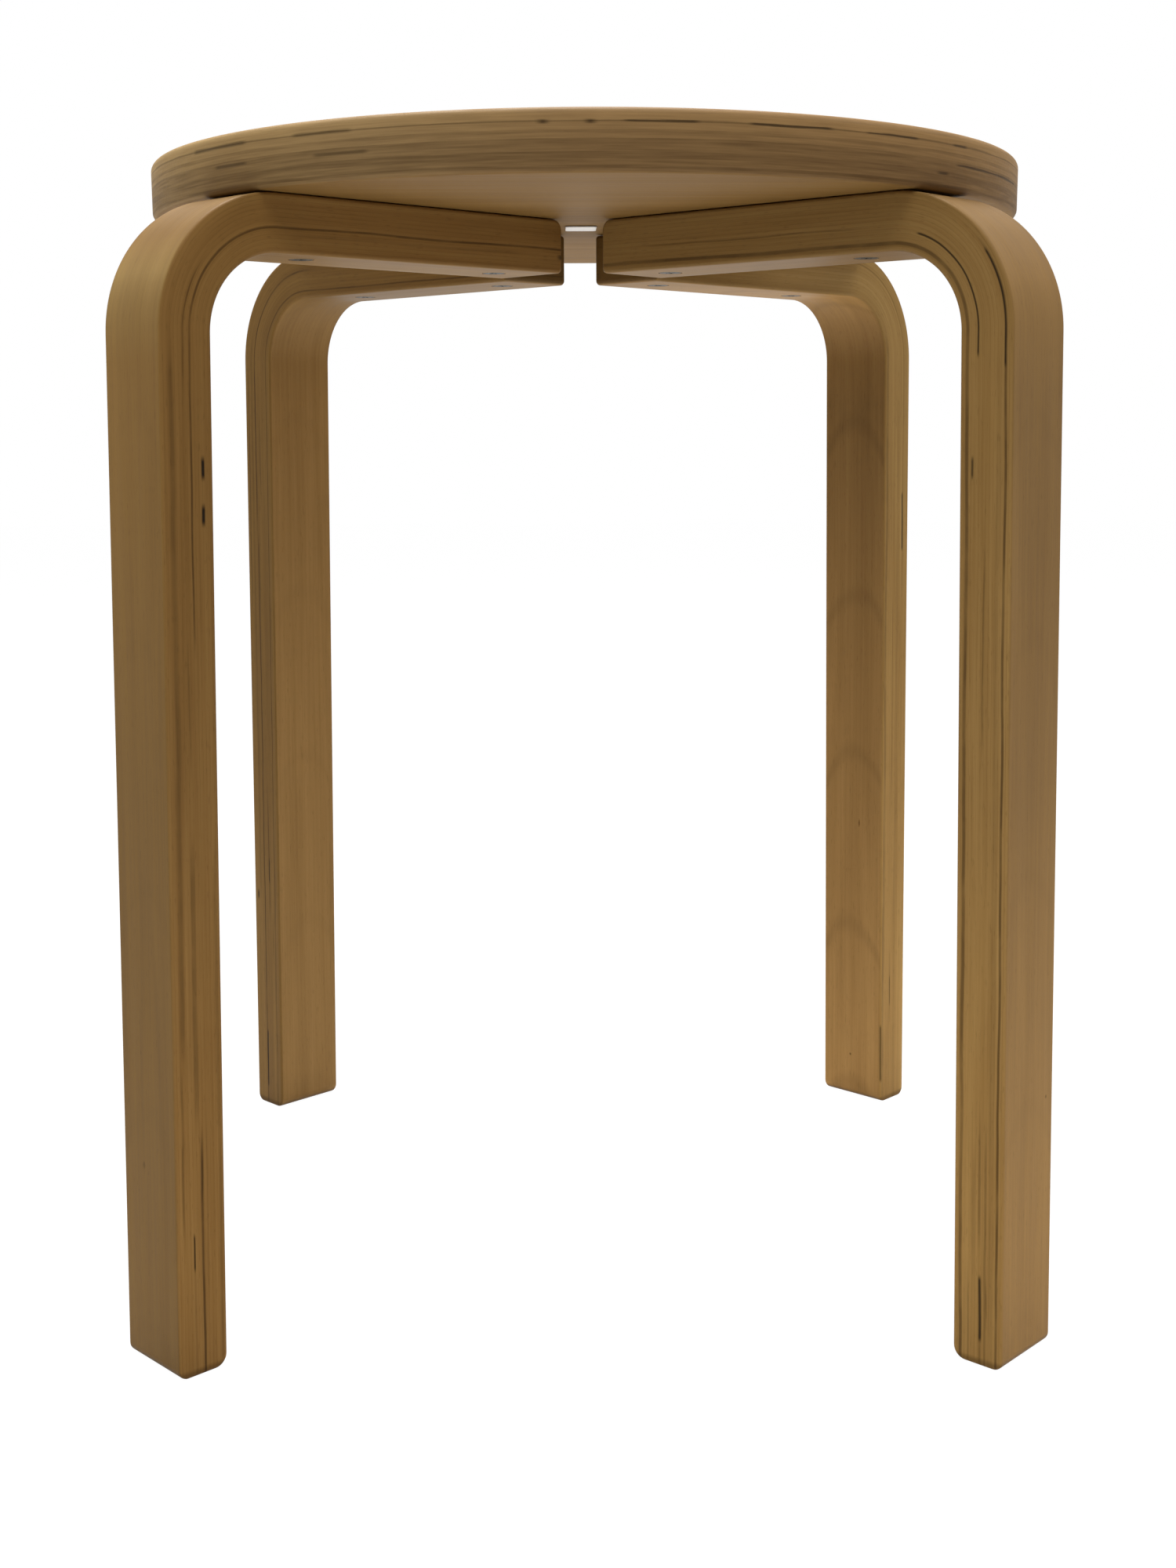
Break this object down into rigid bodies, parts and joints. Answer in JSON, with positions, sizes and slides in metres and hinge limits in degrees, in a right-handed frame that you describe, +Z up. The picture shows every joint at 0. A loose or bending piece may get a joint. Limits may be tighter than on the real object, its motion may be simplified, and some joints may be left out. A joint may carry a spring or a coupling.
{
  "type": "stacking stool",
  "caption": "Round layered-ply seat on laminated bentwood legs, screwed up from below; a low backless stool that stacks on others of its kind.",
  "frame": {"origin": "on the floor in the middle of the four legs; the seat is screwed down 1.65 mm off it, towards +X, as on the pictured stool", "axes": "+Z up, front of the stool towards -Y, its right side towards +X; the legs stand on the diagonals"},
  "size_m": [0.353, 0.351, 0.45],
  "materials": {
    "seat_ply": "birch plywood, clear satin lacquer",
    "bent_birch": "laminated birch veneer, clear satin lacquer",
    "zinc_steel": "zinc plated, dull",
    "white_plastic": "smooth moulded"
  },
  "bodies": {
    "root": {"seat": "seat_ply", "centre_plug": "white_plastic", "leg_front_left": "bent_birch", "leg_front_right": "bent_birch", "leg_back_left": "bent_birch", "leg_back_right": "bent_birch", "screw_front_left_inner": "zinc_steel", "screw_front_left_outer": "zinc_steel", "screw_front_right_inner": "zinc_steel", "screw_front_right_outer": "zinc_steel", "screw_back_left_inner": "zinc_steel", "screw_back_left_outer": "zinc_steel", "screw_back_right_inner": "zinc_steel", "screw_back_right_outer": "zinc_steel"}
  },
  "joints": []
}
